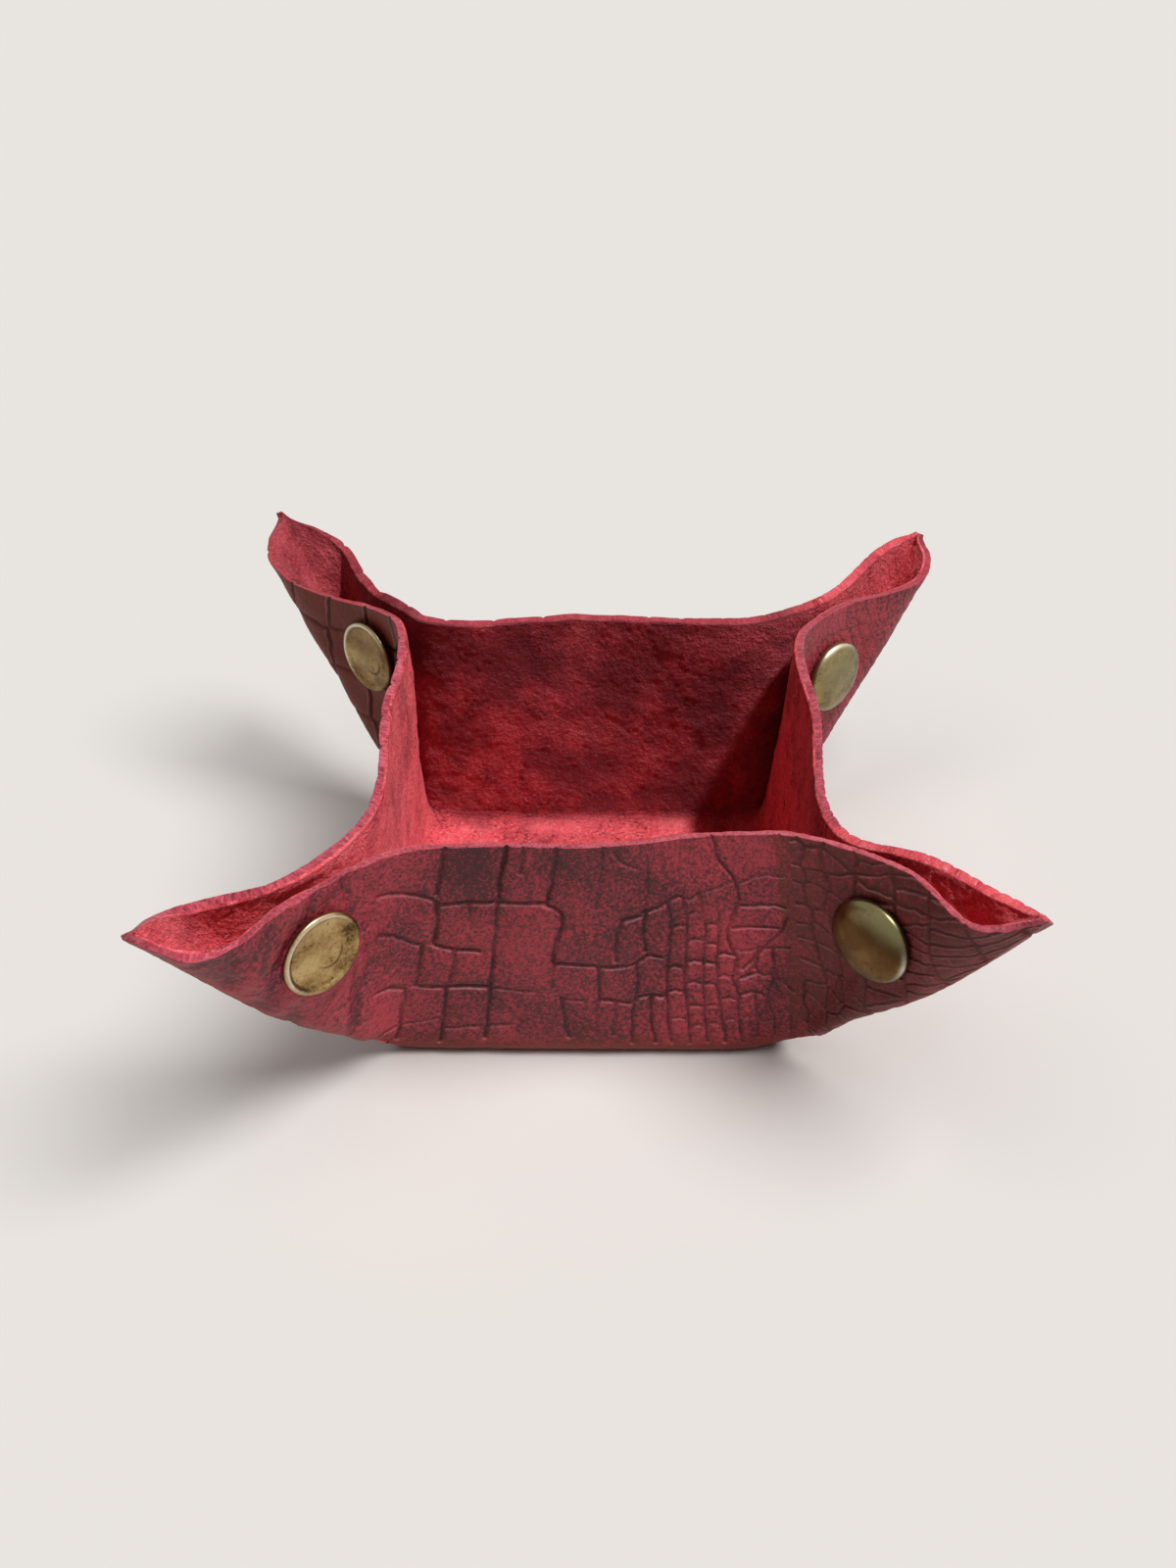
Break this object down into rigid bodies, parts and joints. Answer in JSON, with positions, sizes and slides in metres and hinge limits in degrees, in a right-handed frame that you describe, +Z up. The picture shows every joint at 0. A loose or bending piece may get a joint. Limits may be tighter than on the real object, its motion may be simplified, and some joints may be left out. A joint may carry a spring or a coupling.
{
  "type": "leather jewelry tray",
  "caption": "Square snap-corner leather tray with embossed outside, suede inside, pinched boat-shaped corner ears and brass press studs; opens flat.",
  "frame": {"origin": "centre of the tray's footprint on the surface it stands on", "axes": "+Z up, -Y towards the front wall, +X to the right seen from the front"},
  "size_m": [0.1392, 0.1384, 0.0562],
  "materials": {
    "leather": "dark red embossed grain outside, bright red suede inside",
    "brass": "antique, worn"
  },
  "bodies": {
    "floor": {"floor_panel": "leather"},
    "front_wall": {"front_wall": "leather"},
    "front_ear_front_left": {"front_wall_ear_front_left": "leather", "snap_disc_front_left": "brass", "snap_stud_front_left": "brass"},
    "front_ear_front_right": {"front_wall_ear_front_right": "leather", "snap_cap_front_right": "brass", "snap_socket_front_right": "brass"},
    "right_wall": {"right_wall": "leather"},
    "right_ear_front_right": {"right_wall_ear_front_right": "leather", "snap_disc_front_right": "brass", "snap_stud_front_right": "brass"},
    "right_ear_back_right": {"right_wall_ear_back_right": "leather", "snap_cap_back_right": "brass", "snap_socket_back_right": "brass"},
    "back_wall": {"back_wall": "leather"},
    "back_ear_back_right": {"back_wall_ear_back_right": "leather", "snap_disc_back_right": "brass", "snap_stud_back_right": "brass"},
    "back_ear_back_left": {"back_wall_ear_back_left": "leather", "snap_cap_back_left": "brass", "snap_socket_back_left": "brass"},
    "left_wall": {"left_wall": "leather"},
    "left_ear_back_left": {"left_wall_ear_back_left": "leather", "snap_disc_back_left": "brass", "snap_stud_back_left": "brass"},
    "left_ear_front_left": {"left_wall_ear_front_left": "leather", "snap_cap_front_left": "brass", "snap_socket_front_left": "brass"}
  },
  "joints": [
    {"name": "front_wall_fold", "type": "hinge", "parent": "floor", "child": "front_wall", "pos_m": [0, -0.035, 0.00095], "axis": [1, 0, 0], "range_deg": [0, 75]},
    {"name": "front_ear_fold_front_left", "type": "hinge", "parent": "front_wall", "child": "front_ear_front_left", "pos_m": [-0.0358, -0.035, 0.00095], "axis": [-0.0648, -0.0575, -0.9962], "range_deg": [0, 35.7]},
    {"name": "front_ear_fold_front_right", "type": "hinge", "parent": "front_wall", "child": "front_ear_front_right", "pos_m": [0.0358, -0.035, 0.00095], "axis": [-0.0748, 0.2383, 0.9683], "range_deg": [0, 33.8]},
    {"name": "right_wall_fold", "type": "hinge", "parent": "floor", "child": "right_wall", "pos_m": [0.0358, 0, 0.00095], "axis": [0, 1, 0], "range_deg": [0, 75.9]},
    {"name": "right_ear_fold_front_right", "type": "hinge", "parent": "right_wall", "child": "right_ear_front_right", "pos_m": [0.0358, -0.035, 0.00095], "axis": [0.1732, 0.0107, -0.9848], "range_deg": [0, 38.2]},
    {"name": "right_ear_fold_back_right", "type": "hinge", "parent": "right_wall", "child": "right_ear_back_right", "pos_m": [0.0358, 0.035, 0.00095], "axis": [-0.0309, -0.0613, 0.9976], "range_deg": [0, 37.1]},
    {"name": "back_wall_fold", "type": "hinge", "parent": "floor", "child": "back_wall", "pos_m": [0, 0.035, 0.00095], "axis": [-1, 0, 0], "range_deg": [0, 79.6]},
    {"name": "back_ear_fold_back_right", "type": "hinge", "parent": "back_wall", "child": "back_ear_back_right", "pos_m": [0.0358, 0.035, 0.00095], "axis": [0.0717, 0.0272, -0.9971], "range_deg": [0, 40.7]},
    {"name": "back_ear_fold_back_left", "type": "hinge", "parent": "back_wall", "child": "back_ear_back_left", "pos_m": [-0.0358, 0.035, 0.00095], "axis": [-0.002, -0.0516, 0.9987], "range_deg": [0, 45.3]},
    {"name": "left_wall_fold", "type": "hinge", "parent": "floor", "child": "left_wall", "pos_m": [-0.0358, 0, 0.00095], "axis": [0, -1, 0], "range_deg": [0, 78.1]},
    {"name": "left_ear_fold_back_left", "type": "hinge", "parent": "left_wall", "child": "left_ear_back_left", "pos_m": [-0.0358, 0.035, 0.00095], "axis": [-0.0691, 0.0164, -0.9975], "range_deg": [0, 38.4]},
    {"name": "left_ear_fold_front_left", "type": "hinge", "parent": "left_wall", "child": "left_ear_front_left", "pos_m": [-0.0358, -0.035, 0.00095], "axis": [0.0252, 0.0198, 0.9995], "range_deg": [0, 41.1]}
  ],
  "couplings": [
    {"joint": "front_ear_fold_front_left", "follows": "front_wall_fold", "ratio": 0.4755},
    {"joint": "front_ear_fold_front_right", "follows": "front_wall_fold", "ratio": 0.4505},
    {"joint": "right_wall_fold", "follows": "front_wall_fold", "ratio": 1.0115},
    {"joint": "right_ear_fold_front_right", "follows": "front_wall_fold", "ratio": 0.5082},
    {"joint": "right_ear_fold_back_right", "follows": "front_wall_fold", "ratio": 0.4945},
    {"joint": "back_wall_fold", "follows": "front_wall_fold", "ratio": 1.06},
    {"joint": "back_ear_fold_back_right", "follows": "front_wall_fold", "ratio": 0.5412},
    {"joint": "back_ear_fold_back_left", "follows": "front_wall_fold", "ratio": 0.6031},
    {"joint": "left_wall_fold", "follows": "front_wall_fold", "ratio": 1.0411},
    {"joint": "left_ear_fold_back_left", "follows": "front_wall_fold", "ratio": 0.5107},
    {"joint": "left_ear_fold_front_left", "follows": "front_wall_fold", "ratio": 0.5471}
  ]
}
